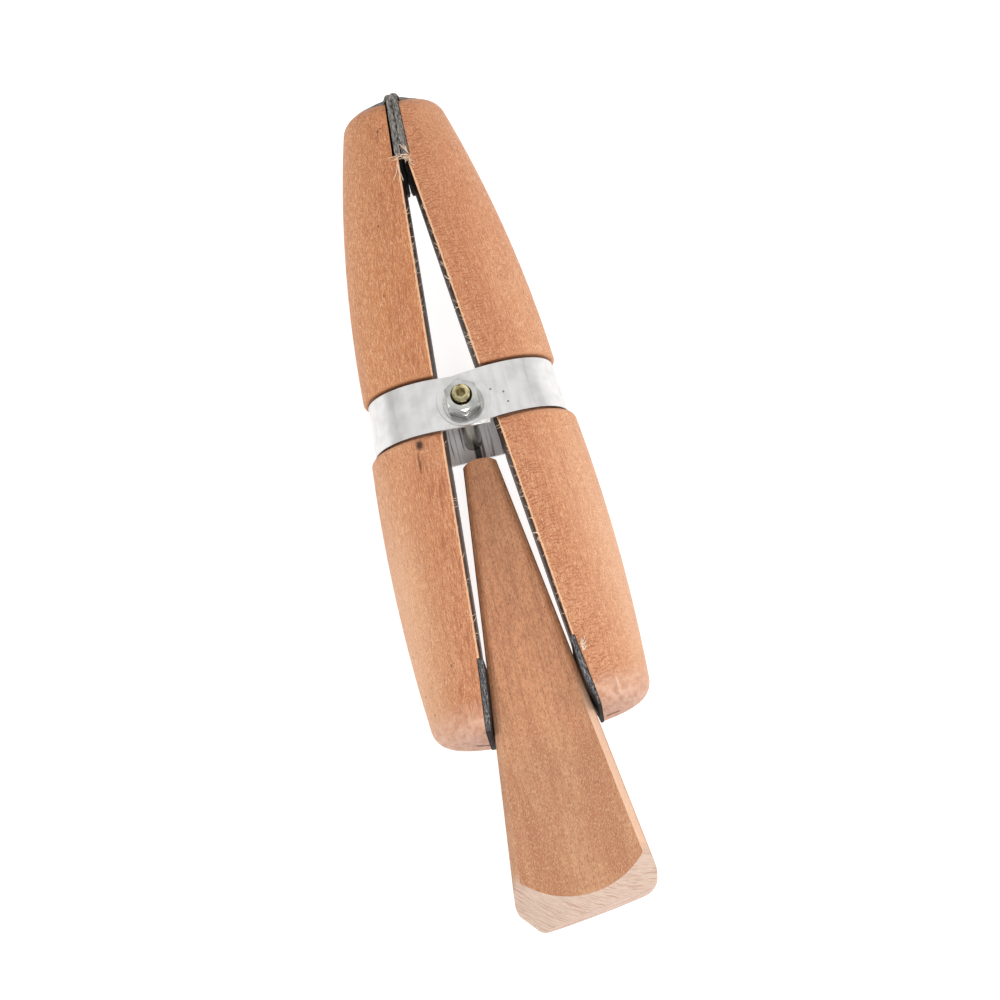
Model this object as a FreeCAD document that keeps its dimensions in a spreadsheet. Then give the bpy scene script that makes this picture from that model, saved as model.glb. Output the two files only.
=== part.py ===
import FreeCAD, Part
import math
import os

import Sketcher
from FreeCAD import Placement, Rotation, Vector

# Hand-held wooden stitching clamp: two turned half-round jaws held at the waist by a metal
# strap, leather pads at both ends of both jaws, and a wooden wedge driven between the lower ends.
#
# Frame: +Z up out of the face that carries the clamp nut, +Y from the wedge to the jaw tips,
# X across the split. The clamp lies on its back and the origin is under the middle of its box.
# Each jaw is drawn in a frame of its own: x outwards from its flat inner face, y along its axis.

DIMENSIONS = [
    # alias, value in mm or degrees, what it is
    ("waist_y", 20.45, "strap middle, from the origin"),
    ("waist_z", 20.9, "split's mid height, above the bed"),
    ("half_gap", 5.8, "waist centre to each jaw's inner face"),
    ("jaw_lean", 4.65, "angle of each inner face to the long axis"),
    ("top_end", 75.7, "waist to jaw tip"),
    ("bottom_end", 74.2, "waist to lower end"),
    ("shoulder_radius", 17.2, "turned radius above the strap"),
    ("rim_radius", 17.5, "turned radius below the strap"),
    ("tip_radius", 11.5, "turned radius at the tip, before rounding"),
    ("foot_radius", 12.9, "turned radius at the lower end, before rounding"),
    ("upper_barrel", 300.0, "long curve of the upper part"),
    ("lower_barrel", 380.0, "long curve of the lower part"),
    ("tip_rounding", 4.5, "rounding of the tip"),
    ("foot_rounding", 5.0, "rounding of the lower end"),
    ("shoulder_rounding", 0.7, "eased edge above the strap"),
    ("rim_rounding", 1.2, "eased edge below the strap"),
    ("groove_half", 6.75, "half width of the strap groove"),
    ("groove_crown", 15.35, "groove floor radius at its middle"),
    ("groove_edge", 14.6, "groove floor radius at its sides"),
    ("pad_thick", 1.5, "leather thickness at the lower ends"),
    ("upper_pad_start", 60.3, "waist to the lower edge of an upper pad"),
    ("left_notch_start", 1.25, "left jaw's notch depth at the pad's lower edge"),
    ("left_notch_tip", 1.15, "left jaw's notch depth at the tip"),
    ("left_face_start", -0.75, "left pad's face, from the jaw's own, at its lower edge"),
    ("left_face_tip", -0.35, "left pad's face, from the jaw's own, at the tip"),
    ("right_notch_start", 1.0, "right jaw's notch depth at the pad's lower edge"),
    ("right_notch_tip", 2.7, "right jaw's notch depth at the tip"),
    ("right_face_start", -0.85, "right pad's face, from the jaw's own, at its lower edge"),
    ("right_face_tip", 1.25, "right pad's face, from the jaw's own, at the tip"),
    ("cap_radius", 7.3, "how far the leather spreads over the tip"),
    ("cap_thick", 0.9, "leather over the tip"),
    ("fold_rise", 0.2, "how much the fold stands above that leather"),
    ("lower_pad_start", 58.2, "waist to the upper edge of a lower pad"),
    ("lower_notch_start", 0.52, "notch depth at the pad's upper edge"),
    ("lower_notch_foot", 1.27, "notch depth at the lower end"),
    ("strap_half", 6.0, "half width of the strap"),
    ("strap_inner", 15.5, "radius inside the strap"),
    ("strap_thick", 0.8, "strip thickness"),
    ("lap_blend", 60.0, "angle where the upper layer leaves the right jaw"),
    ("tail_length", 11.0, "lower layer's flat tail"),
    ("screw_x", -0.2, "screw axis across the clamp, from the waist"),
    ("screw_y", -1.4, "screw axis along the clamp, from the waist"),
    ("screw_radius", 2.0, "screw radius"),
    ("screw_front", 26.3, "front end of the screw"),
    ("screw_back", -20.9, "back end of the screw"),
    ("screw_chamfer", 0.6, "chamfer at each end"),
    ("socket_flats", 2.0, "hex socket, across flats"),
    ("socket_depth", 2.4, "hex socket depth"),
    ("bore_radius", 2.05, "bore of the nuts, washers and strap"),
    ("nut_flats", 7.0, "nut, across flats"),
    ("nut_height", 3.2, "nut height"),
    ("nut_sink", 0.4, "countersink of its bore"),
    ("washer_radius", 4.5, "washer's outer radius"),
    ("washer_thick", 0.8, "washer's thickness"),
    ("wedge_thick", 14.0, "thickness of the wedge's board"),
    ("wedge_tip_y", -12.7, "wedge tip, from the waist"),
    ("wedge_tip_half", 3.85, "half width at the tip"),
    ("wedge_tip_bulge", 0.9, "rounding of the tip in plan"),
    ("butt_right_x", 16.42, "butt corner, right"),
    ("butt_right_y", -114.5, "butt corner, right"),
    ("butt_left_x", -11.6, "butt end, left"),
    ("butt_left_y", -118.0, "butt end, left"),
    ("facet_x", -16.2, "where the left corner facet starts"),
    ("facet_y", -112.2, "where the left corner facet starts"),
    ("butt_corner", 4.5, "right butt corner radius"),
    ("facet_corner", 2.5, "radii at the facet"),
    ("wedge_chamfer", 1.3, "planed chamfer of the right-hand long edges"),
    ("wedge_arris", 0.4, "eased left-hand long edges"),
    ("bevel_centre_y", -94.0, "centre of the curved butt bevel"),
    ("bevel_radius", 18.4, "bevel's radius at the board's face"),
    ("bevel_slope", 1.5, "bevel's run for each mm of drop"),
    ("bevel_crown", 40.0, "bevel's own convex curve"),
]

doc = FreeCAD.newDocument("stitching_clamp")
sheet = doc.addObject("Spreadsheet::Sheet", "Sizes")
for row, (alias, value, note) in enumerate(DIMENSIONS, start=1):
    sheet.set(f"A{row}", note)
    sheet.set(f"B{row}", str(value))
    sheet.setAlias(f"B{row}", alias)
doc.recompute()


def size(alias):
    """Value of one cell of the sheet."""
    return float(getattr(sheet, alias))


# ---------------------------------------------------------------- helpers


def new_body(label):
    """Empty body placed at the waist."""
    body = doc.addObject("PartDesign::Body", label)
    body.Label = label
    body.setExpression("Placement.Base.y", "Sizes.waist_y")
    body.setExpression("Placement.Base.z", "Sizes.waist_z")
    return body


def new_sketch(body, name, role, offset=Placement()):
    """Sketch on one of the body's own origin planes."""
    sketch = body.newObject("Sketcher::SketchObject", name)
    plane = next(item for item in body.Origin.OriginFeatures if item.Role == role)
    sketch.AttachmentSupport = [(plane, "")]
    sketch.MapMode = "FlatFace"
    sketch.AttachmentOffset = offset
    return sketch


def pin(sketch, geometry, point, x_rule, y_rule):
    """Ties one end of a line or arc to the sketch origin with two rules."""
    for kind, rule in (("DistanceX", x_rule), ("DistanceY", y_rule)):
        value = evaluate(rule)
        index = sketch.addConstraint(Sketcher.Constraint(kind, -1, 1, geometry, point, value))
        sketch.setExpression(f"Constraints[{index}]", rule)


def evaluate(rule):
    """Number that a rule stands for, for a sketch's first drawing."""
    return float(sheet.evalExpression(rule))


def outline(sketch, corners, bulges=None):
    """Closed outline through corners given as (x rule, y rule).

    bulges maps an edge number to (radius rule, side): that edge is an arc whose
    middle lies to the left (+1) or right (-1) of the way from corner to corner.
    """
    bulges = bulges or {}
    points = [Vector(evaluate(x), evaluate(y), 0) for x, y in corners]
    first = sketch.GeometryCount
    arc_ends = []
    for index, start in enumerate(points):
        end = points[(index + 1) % len(points)]
        if index not in bulges:
            sketch.addGeometry(Part.LineSegment(start, end))
            arc_ends.append((1, 2))
            continue
        radius_rule, side = bulges[index]
        radius = evaluate(radius_rule)
        chord = end - start
        rise = radius - math.sqrt(radius**2 - (chord.Length / 2) ** 2)
        normal = Vector(-chord.y, chord.x, 0).normalize() * side
        middle = (start + end) * 0.5 + normal * rise
        sketch.addGeometry(Part.ArcOfCircle(start, middle, end))
        # An arc runs counter-clockwise, so its first point is the chord's end when it bulges left.
        arc_ends.append((2, 1) if side > 0 else (1, 2))
    for index, (x_rule, y_rule) in enumerate(corners):
        here = first + index
        before = first + (index - 1) % len(corners)
        start_point = arc_ends[index][0]
        end_point = arc_ends[(index - 1) % len(corners)][1]
        sketch.addConstraint(Sketcher.Constraint("Coincident", before, end_point, here, start_point))
        pin(sketch, here, start_point, x_rule, y_rule)
    for index, (radius_rule, _) in bulges.items():
        number = sketch.addConstraint(Sketcher.Constraint("Radius", first + index, evaluate(radius_rule)))
        sketch.setExpression(f"Constraints[{number}]", radius_rule)


def circle(sketch, x_rule, y_rule, radius_rule):
    """Full circle tied to the sketch origin."""
    centre = Vector(evaluate(x_rule), evaluate(y_rule), 0)
    index = sketch.addGeometry(Part.Circle(centre, Vector(0, 0, 1), evaluate(radius_rule)))
    pin(sketch, index, 3, x_rule, y_rule)
    number = sketch.addConstraint(Sketcher.Constraint("Radius", index, evaluate(radius_rule)))
    sketch.setExpression(f"Constraints[{number}]", radius_rule)


def hexagon(sketch, flats_rule, x_rule, y_rule):
    """Hexagon with corners towards +Y and -Y."""
    corners = []
    for step in range(6):
        angle = f"{60 * step + 30}"
        reach = f"{flats_rule} / 2 / cos(30) "
        corners.append((f"{x_rule} + {reach} * cos({angle})", f"{y_rule} + {reach} * sin({angle})"))
    outline(sketch, corners)


def volume_after(body, feature, change):
    """Recomputes and makes sure that the feature really added or removed material."""
    before = getattr(feature.BaseFeature, "Shape", None)
    doc.recompute()
    old = before.Volume if before and not before.isNull() else 0.0
    grown = feature.Shape.Volume - old
    if grown * change <= 0:
        raise RuntimeError(f"{body.Label}: {feature.Name} changed the volume by {grown:.3f}")


def pad(body, sketch, length_rule, midplane=False):
    """Extrusion of a sketch along its normal."""
    feature = body.newObject("PartDesign::Pad", sketch.Name + "_pad")
    feature.Profile = sketch
    feature.setExpression("Length", length_rule)
    feature.Midplane = midplane
    volume_after(body, feature, +1)
    return feature


def pocket(body, sketch, length_rule):
    """Cut on both sides of the sketch."""
    feature = body.newObject("PartDesign::Pocket", sketch.Name + "_pocket")
    feature.Profile = sketch
    feature.setExpression("Length", length_rule)
    feature.Midplane = True
    volume_after(body, feature, -1)
    return feature


def turned(body, sketch, kind, angle, axis="V_Axis", midplane=True):
    """Revolution or Groove of a sketch about one of its own axes."""
    feature = body.newObject("PartDesign::" + kind, sketch.Name + "_turn")
    feature.Profile = sketch
    feature.ReferenceAxis = (sketch, [axis])
    feature.Angle = angle
    feature.Midplane = midplane
    volume_after(body, feature, +1 if kind == "Revolution" else -1)
    return feature


def dress(body, kind, test, size_name, size_rule):
    """Fillet or Chamfer on the edges of the body's tip that pass the test."""
    base = body.Tip
    names = [f"Edge{n}" for n, edge in enumerate(base.Shape.Edges, start=1) if test(edge)]
    feature = body.newObject("PartDesign::" + kind, f"{kind}_{len(body.Group)}")
    feature.Base = (base, names)
    feature.setExpression(size_name, size_rule)
    volume_after(body, feature, -1)
    return feature


# ---------------------------------------------------------------- jaws

NAMES = {-1: "left", +1: "right"}


def jaw_placement(side):
    """Places a jaw's own frame: side is -1 for the left jaw and +1 for the right."""
    turn = Rotation(Vector(0, 0, 1), side * size("jaw_lean"))
    if side < 0:
        turn = turn * Rotation(Vector(0, 1, 0), 180)
    return Placement(Vector(side * size("half_gap"), size("waist_y"), size("waist_z")), turn)


def place_jaw_piece(body, side):
    """Puts a body that is drawn in a jaw's frame on that jaw."""
    for path in ("Placement.Base.y", "Placement.Base.z"):
        body.setExpression(path, None)
    body.Placement = jaw_placement(side)


def make_jaw(label, side):
    """Turned half-round jaw with strap groove and a notch at each end."""
    body = new_body(label)
    profile = new_sketch(body, label + "_profile", "XY_Plane")
    corners = [
        ("0", "-Sizes.bottom_end"),
        ("Sizes.foot_radius", "-Sizes.bottom_end"),
        ("Sizes.rim_radius", "-Sizes.groove_half"),
        ("Sizes.groove_edge", "-Sizes.groove_half"),
        ("Sizes.groove_edge", "Sizes.groove_half"),
        ("Sizes.shoulder_radius", "Sizes.groove_half"),
        ("Sizes.tip_radius", "Sizes.top_end"),
        ("0", "Sizes.top_end"),
    ]
    crown = "(Sizes.groove_crown - Sizes.groove_edge)"
    crown_radius = f"(Sizes.groove_half ^ 2 + {crown} ^ 2) / (2 * {crown})"
    bulges = {
        1: ("Sizes.lower_barrel", -1),
        3: (crown_radius, -1),
        5: ("Sizes.upper_barrel", -1),
    }
    outline(profile, corners, bulges)
    turned(body, profile, "Revolution", 180)

    def ring_at(level, radius):
        def test(edge):
            box = edge.BoundBox
            return box.YLength < 1e-3 and abs(box.YMin - level) < 1e-3 and abs(box.XMax - radius) < 1e-3
        return test

    half = size("groove_half")
    dress(body, "Fillet", ring_at(size("top_end"), size("tip_radius")), "Radius", "Sizes.tip_rounding")
    dress(body, "Fillet", ring_at(-size("bottom_end"), size("foot_radius")), "Radius", "Sizes.foot_rounding")
    dress(body, "Fillet", ring_at(half, size("shoulder_radius")), "Radius", "Sizes.shoulder_rounding")
    dress(body, "Fillet", ring_at(-half, size("rim_radius")), "Radius", "Sizes.rim_rounding")

    notches = new_sketch(body, label + "_notches", "XY_Plane")
    own = "Sizes." + NAMES[side]
    outline(notches, [
        ("-1", "Sizes.upper_pad_start"),
        (own + "_notch_start", "Sizes.upper_pad_start"),
        (own + "_notch_tip", "Sizes.top_end"),
        (own + "_notch_tip", "Sizes.top_end + 1"),
        ("-1", "Sizes.top_end + 1"),
    ])
    outline(notches, [
        ("-1", "-Sizes.lower_pad_start"),
        ("-1", "-Sizes.bottom_end - 1"),
        ("Sizes.lower_notch_foot", "-Sizes.bottom_end - 1"),
        ("Sizes.lower_notch_foot", "-Sizes.bottom_end"),
        ("Sizes.lower_notch_start", "-Sizes.lower_pad_start"),
    ])
    pocket(body, notches, "3 * Sizes.rim_radius")
    place_jaw_piece(body, side)
    return body


def trim_to_jaw(body, name, start, end, barrel):
    """Cuts a pad back to the jaw's turned outside; start and end are (radius rule, y rule)."""
    outside = "2 * Sizes.rim_radius"
    sketch = new_sketch(body, name, "XY_Plane")
    outline(sketch, [start, end, (outside, end[1]), (outside, start[1])], {0: barrel})
    turned(body, sketch, "Groove", 360, midplane=False)


def make_upper_pad(label, side):
    """Leather on the inner face of a jaw tip, folded over the end of the wood."""
    body = new_body(label)
    own = "Sizes." + NAMES[side]
    strip = new_sketch(body, label + "_strip", "XY_Plane")
    fold_top = "Sizes.top_end + Sizes.cap_thick + Sizes.fold_rise"
    outline(strip, [
        (own + "_notch_start", "Sizes.upper_pad_start"),
        (own + "_notch_tip", "Sizes.top_end"),
        (own + "_notch_tip", fold_top),
        (own + "_face_tip + 0.5", fold_top),
        (own + "_face_tip", fold_top + " - 0.5"),
        (own + "_face_start", "Sizes.upper_pad_start"),
    ])
    pad(body, strip, "2 * Sizes.rim_radius", midplane=True)
    trim_to_jaw(body, label + "_side", ("Sizes.shoulder_radius", "Sizes.groove_half"),
                ("Sizes.tip_radius", "Sizes.top_end"), ("Sizes.upper_barrel", -1))
    fold = new_sketch(body, label + "_fold", "XY_Plane")
    outside = "2 * Sizes.rim_radius"
    outline(fold, [
        ("Sizes.tip_radius", "Sizes.top_end - 0.7"),
        (outside, "Sizes.top_end - 0.7"),
        (outside, "Sizes.top_end + 5"),
        ("Sizes.tip_radius - 1.4", "Sizes.top_end + 1.4"),
    ])
    turned(body, fold, "Groove", 360, midplane=False)

    level = size("top_end") + size("cap_thick")
    cap = new_sketch(body, label + "_cap", "XZ_Plane", Placement(Vector(0, 0, -level), Rotation()))
    root = own + "_notch_tip - 0.2"
    half_width = f"sqrt(Sizes.cap_radius ^ 2 - ({root}) ^ 2)"
    outline(cap, [(root, "-" + half_width), (root, half_width)], {0: ("Sizes.cap_radius", -1)})
    pad(body, cap, "Sizes.cap_thick")
    place_jaw_piece(body, side)
    return body


def make_lower_pad(label, side):
    """Leather on the inner face of a jaw's lower end, where the wedge bears."""
    body = new_body(label)
    strip = new_sketch(body, label + "_strip", "XY_Plane")
    outline(strip, [
        ("Sizes.lower_notch_start", "-Sizes.lower_pad_start"),
        ("Sizes.lower_notch_start - Sizes.pad_thick", "-Sizes.lower_pad_start"),
        ("Sizes.lower_notch_foot - Sizes.pad_thick", "-Sizes.bottom_end"),
        ("Sizes.lower_notch_foot", "-Sizes.bottom_end"),
    ])
    pad(body, strip, "2 * Sizes.rim_radius", midplane=True)
    trim_to_jaw(body, label + "_side", ("Sizes.foot_radius", "-Sizes.bottom_end"),
                ("Sizes.rim_radius", "-Sizes.groove_half"), ("Sizes.lower_barrel", -1))
    place_jaw_piece(body, side)
    return body


# ---------------------------------------------------------------- strap


def make_strap():
    """One strip round both jaws; its ends overlap at the front, the right-hand end on top."""
    body = new_body("strap_band")
    gap = size("half_gap")
    lean = size("jaw_lean")
    inner = size("strap_inner")
    outer = inner + size("strap_thick")
    turn = Vector(0, 0, 1)
    right = Rotation(turn, lean)
    left = Rotation(turn, 180 - lean)
    outer_rule = "Sizes.strap_inner + Sizes.strap_thick"

    # The strip lies square to each jaw's own axis, so each side is a half tube that leans.
    for name, frame, offset in (("left_wrap", left, -gap), ("right_wrap", right, gap)):
        sketch = new_sketch(body, name, "XY_Plane", Placement(Vector(offset, 0, 0), frame))
        outline(sketch, [
            ("Sizes.strap_inner", "-Sizes.strap_half"),
            (outer_rule, "-Sizes.strap_half"),
            (outer_rule, "Sizes.strap_half"),
            ("Sizes.strap_inner", "Sizes.strap_half"),
        ])
        feature = body.newObject("PartDesign::Revolution", name + "_turn")
        feature.Profile = sketch
        feature.ReferenceAxis = (sketch, ["V_Axis"])
        feature.Angle = 180
        feature.Midplane = True
        if name == "left_wrap":
            doc.recompute()
            bridge = new_sketch(body, "back_bridge", "XY_Plane", Placement(Vector(0, 0, -outer), Rotation()))
            lean_run = "Sizes.strap_half * sin(Sizes.jaw_lean)"
            level = "Sizes.strap_half * cos(Sizes.jaw_lean)"
            near = f"Sizes.half_gap - {lean_run}"
            far = f"Sizes.half_gap + {lean_run}"
            outline(bridge, [
                (f"-({far})", f"-({level})"),
                (far, f"-({level})"),
                (near, level),
                (f"-({near})", level),
            ])
            pad(body, bridge, "Sizes.strap_thick")
        else:
            volume_after(body, feature, +1)

    tail = new_sketch(body, "lower_tail", "XY_Plane", Placement(Vector(-gap, 0, inner), left))
    outline(tail, [
        ("0", "-Sizes.strap_half"),
        ("0", "Sizes.strap_half"),
        ("-Sizes.tail_length", "Sizes.strap_half"),
        ("-Sizes.tail_length", "-Sizes.strap_half"),
    ])
    pad(body, tail, "Sizes.strap_thick")

    # The upper layer leaves the right wrap along a larger, eccentric curve and runs flat to the screw.
    slope = "Sizes.lap_blend"
    lift = f"((Sizes.strap_thick) / (1 - sin({slope})))"
    centre_x = f"(-{lift} * cos({slope}))"
    top_rule = "Sizes.strap_inner + 2 * Sizes.strap_thick"
    lap_frame = Placement(Vector(gap, 0, 0), Rotation(Vector(0, 1, 0), lean))
    lap = new_sketch(body, "upper_lap", "XZ_Plane", lap_frame)
    outline(lap, [
        ("-Sizes.half_gap", outer_rule),
        ("0", outer_rule),
        (f"({outer_rule}) * cos({slope})", f"({outer_rule}) * sin({slope})"),
        (centre_x, top_rule),
        ("-Sizes.half_gap", top_rule),
    ], {1: (outer_rule, +1), 2: (f"{outer_rule} + {lift}", -1)})
    pad(body, lap, "2 * Sizes.strap_half", midplane=True)

    end = new_sketch(body, "round_end", "XY_Plane", Placement(Vector(gap, 0, outer), right))
    circle(end, "-Sizes.half_gap", "0", "Sizes.strap_half")
    pad(body, end, "Sizes.strap_thick")

    holes = new_sketch(body, "screw_holes", "XY_Plane")
    circle(holes, "Sizes.screw_x", "Sizes.screw_y", "Sizes.bore_radius")
    pocket(body, holes, "4 * Sizes.strap_inner")
    return body


# ---------------------------------------------------------------- screw, nuts and washers


def make_screw():
    """Headless screw right through the strap, with a hex socket at the front."""
    body = new_body("clamp_screw")
    axis = Placement(Vector(size("screw_x"), 0, -size("screw_y")), Rotation())
    shank = new_sketch(body, "shank", "XZ_Plane", axis)
    edge = "Sizes.screw_radius - Sizes.screw_chamfer"
    outline(shank, [
        ("0", "Sizes.screw_back"),
        (edge, "Sizes.screw_back"),
        ("Sizes.screw_radius", "Sizes.screw_back + Sizes.screw_chamfer"),
        ("Sizes.screw_radius", "Sizes.screw_front - Sizes.screw_chamfer"),
        (edge, "Sizes.screw_front"),
        ("0", "Sizes.screw_front"),
    ])
    turned(body, shank, "Revolution", 360, midplane=False)
    socket = new_sketch(body, "socket", "XY_Plane", Placement(Vector(0, 0, size("screw_front")), Rotation()))
    hexagon(socket, "Sizes.socket_flats", "Sizes.screw_x", "Sizes.screw_y")
    pocket(body, socket, "2 * Sizes.socket_depth")
    return body


def make_nut(label, level):
    """Hex nut with chamfered corners, its lower face at the given level."""
    body = new_body(label)
    face = Placement(Vector(0, 0, level), Rotation())
    blank = new_sketch(body, label + "_blank", "XY_Plane", face)
    hexagon(blank, "Sizes.nut_flats", "Sizes.screw_x", "Sizes.screw_y")
    circle(blank, "Sizes.screw_x", "Sizes.screw_y", "Sizes.bore_radius")
    pad(body, blank, "Sizes.nut_height")

    # Both faces are turned down at about 30 degrees, which rounds the corners off.
    axis = Placement(Vector(size("screw_x"), level, -size("screw_y")), Rotation())
    cones = new_sketch(body, label + "_cones", "XZ_Plane", axis)
    reach = "Sizes.nut_flats"
    drop = f"({reach} - Sizes.nut_flats / 2) * tan(30)"
    for base, sign, side in (("0", "+", -1), ("Sizes.nut_height", "-", +1)):
        outline(cones, [
            ("Sizes.nut_flats / 2", base),
            (reach, f"{base} {sign} {drop}"),
            (reach, base),
        ], {0: ("2 * Sizes.nut_flats", side)})
        outline(cones, [
            ("Sizes.bore_radius - 0.5", base),
            ("Sizes.bore_radius + Sizes.nut_sink", base),
            ("Sizes.bore_radius", f"{base} {sign} Sizes.nut_sink"),
            ("Sizes.bore_radius - 0.5", f"{base} {sign} Sizes.nut_sink"),
        ])
    turned(body, cones, "Groove", 360, midplane=False)
    return body


def make_washer(label, level):
    """Plain washer, its lower face at the given level."""
    body = new_body(label)
    ring = new_sketch(body, label + "_ring", "XY_Plane", Placement(Vector(0, 0, level), Rotation()))
    circle(ring, "Sizes.screw_x", "Sizes.screw_y", "Sizes.washer_radius")
    circle(ring, "Sizes.screw_x", "Sizes.screw_y", "Sizes.bore_radius")
    pad(body, ring, "Sizes.washer_thick")
    return body


# ---------------------------------------------------------------- wedge


def make_wedge():
    """Tapered board with a hand-cut, slightly skew butt."""
    body = new_body("wedge")
    plan = new_sketch(body, "plan", "XY_Plane")
    bulge = "Sizes.wedge_tip_bulge"
    tip_radius = f"(Sizes.wedge_tip_half ^ 2 + {bulge} ^ 2) / (2 * {bulge})"
    outline(plan, [
        ("-Sizes.wedge_tip_half", "Sizes.wedge_tip_y"),
        ("Sizes.wedge_tip_half", "Sizes.wedge_tip_y"),
        ("Sizes.butt_right_x", "Sizes.butt_right_y"),
        ("Sizes.butt_left_x", "Sizes.butt_left_y"),
        ("Sizes.facet_x", "Sizes.facet_y"),
    ], {0: (tip_radius, +1)})
    pad(body, plan, "Sizes.wedge_thick", midplane=True)

    def upright_at(x_name, y_name):
        def test(edge):
            box = edge.BoundBox
            level = abs(box.XMin - size(x_name)) < 0.05 and abs(box.YMin - size(y_name)) < 0.05
            return level and box.ZLength > 1.0
        return test

    dress(body, "Fillet", upright_at("butt_right_x", "butt_right_y"), "Radius", "Sizes.butt_corner")
    dress(body, "Fillet", upright_at("butt_left_x", "butt_left_y"), "Radius", "Sizes.facet_corner")
    dress(body, "Fillet", upright_at("facet_x", "facet_y"), "Radius", "Sizes.facet_corner")

    def right_long_edge(edge):
        return edge.BoundBox.YLength > 50 and edge.BoundBox.XMin > 0

    def left_long_edge(edge):
        return edge.BoundBox.YLength > 50 and edge.BoundBox.XMax < 0

    dress(body, "Chamfer", right_long_edge, "Size", "Sizes.wedge_chamfer")
    dress(body, "Chamfer", left_long_edge, "Size", "Sizes.wedge_arris")

    # The butt is sanded back on both faces along a cone, so the bevel's edge is an arc on the face.
    bevel_frame = Placement(Vector(size("bevel_centre_y"), 0, 0), Rotation())
    bevels = new_sketch(body, "bevels", "YZ_Plane", bevel_frame)
    face = "Sizes.wedge_thick / 2"
    above = f"({face} + 1)"
    below = f"({face} - 6)"
    for sign, side in (("", -1), ("-", +1)):
        outline(bevels, [
            ("-(Sizes.bevel_radius - Sizes.bevel_slope)", f"{sign}{above}"),
            ("-(Sizes.bevel_radius + 6 * Sizes.bevel_slope)", f"{sign}{below}"),
            ("-(Sizes.bevel_radius + 6 * Sizes.bevel_slope)", f"{sign}{above}"),
        ], {0: ("Sizes.bevel_crown", side)})
    turned(body, bevels, "Groove", 180)
    return body


# ---------------------------------------------------------------- assembly

strap_face = size("strap_inner") + 2 * size("strap_thick")
strap_back = -size("strap_inner") - size("strap_thick")
washer = size("washer_thick")
nut = size("nut_height")

parts = [
    make_jaw("jaw_half_left", -1),
    make_jaw("jaw_half_right", +1),
    make_upper_pad("upper_pad_left", -1),
    make_upper_pad("upper_pad_right", +1),
    make_lower_pad("lower_pad_left", -1),
    make_lower_pad("lower_pad_right", +1),
    make_strap(),
    make_screw(),
    make_washer("front_washer", strap_face),
    make_nut("front_nut", strap_face + washer),
    make_nut("front_jam_nut", strap_face + washer + nut),
    make_washer("rear_washer", strap_back - washer),
    make_nut("rear_nut", strap_back - washer - nut),
    make_wedge(),
]
doc.recompute()

for item in doc.Objects:
    if "Invalid" in item.State or "Error" in item.State:
        raise RuntimeError(f"{item.Name} failed: {item.State}")
for part in parts:
    if part.Shape.isNull() or not part.Shape.isValid():
        raise RuntimeError(f"{part.Label} has no valid shape")

os.makedirs("parts", exist_ok=True)
for part in parts:
    part.Shape.exportStep(f"parts/{part.Label}.step")
    print(f"{part.Label}: {part.Shape.Volume:.1f} mm3, {len(part.Shape.Solids)} solid")

box = Part.makeCompound([part.Shape for part in parts]).optimalBoundingBox(False)
print(f"box from {box.XMin:.3f} {box.YMin:.3f} {box.ZMin:.3f} to {box.XMax:.3f} {box.YMax:.3f} {box.ZMax:.3f}")
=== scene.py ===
"""Looks of the hand-held stitching clamp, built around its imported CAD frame.

Metres, +Z up, +Y towards the jaw tips. A jaw's own frame has its origin on the split's mid
height at the waist, x outwards from its flat inner face and y along its axis.
"""

import math
import random

import bmesh
import bpy
from mathutils import Matrix, Vector, noise


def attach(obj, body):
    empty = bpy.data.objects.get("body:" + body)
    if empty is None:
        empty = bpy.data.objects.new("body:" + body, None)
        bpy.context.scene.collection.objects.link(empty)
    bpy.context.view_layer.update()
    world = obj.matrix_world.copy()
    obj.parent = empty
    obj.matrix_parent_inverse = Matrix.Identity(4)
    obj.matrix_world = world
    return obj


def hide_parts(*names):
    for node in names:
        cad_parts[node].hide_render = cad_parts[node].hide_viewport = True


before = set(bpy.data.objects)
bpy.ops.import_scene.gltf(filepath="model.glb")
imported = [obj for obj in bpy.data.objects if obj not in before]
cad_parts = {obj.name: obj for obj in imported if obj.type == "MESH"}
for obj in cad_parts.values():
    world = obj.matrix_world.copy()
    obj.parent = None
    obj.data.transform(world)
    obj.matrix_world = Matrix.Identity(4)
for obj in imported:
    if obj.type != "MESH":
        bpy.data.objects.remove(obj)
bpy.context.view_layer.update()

MM = 0.001
WAIST = Vector((0, 20.45, 20.9)) * MM  # mid height of the split, at the strap
HALF_GAP = 5.8  # millimetres from the middle to a jaw's inner face at the waist
JAW_LEAN = math.radians(4.65)
SIDES = {"left": -1, "right": +1}
FULL_TURN = 2 * math.pi

# Sockets of a Mix node for colours, whose names aren't unique.
MIX_FACTOR, MIX_A, MIX_B, MIX_RESULT = 0, 6, 7, 2
# Samples for the painted shade in tight corners.
CREVICE_SHADE_SAMPLES = 8


def srgb(red, green, blue):
    """Linear colour of an 8-bit sRGB one."""
    def linear(value):
        value /= 255
        return value / 12.92 if value <= 0.04045 else ((value + 0.055) / 1.055) ** 2.4
    return (linear(red), linear(green), linear(blue), 1.0)


# ---------------------------------------------------------------- shape of a jaw

UPPER = {"low": 6.75, "high": 75.7, "low_radius": 17.2, "high_radius": 11.5, "crown": 300.0}
LOWER = {"low": -74.2, "high": -6.75, "low_radius": 12.9, "high_radius": 17.5, "crown": 380.0}
TIP_ROUNDING = 4.5
FOOT_ROUNDING = 5.0


def blend(low, high, share):
    return low + (high - low) * share


def ease(low, high, value):
    """0 below low, 1 above high, and smooth between them."""
    share = min(1.0, max(0.0, (value - low) / (high - low)))
    return share * share * (3 - 2 * share)


def jaw_radius(y):
    """Radius of the turned wood at a height along its axis."""
    half = UPPER if y > 0 else LOWER
    share = (y - half["low"]) / (half["high"] - half["low"])
    chord = blend(half["low_radius"], half["high_radius"], share)
    return chord + (y - half["low"]) * (half["high"] - y) / (2 * half["crown"])


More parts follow.
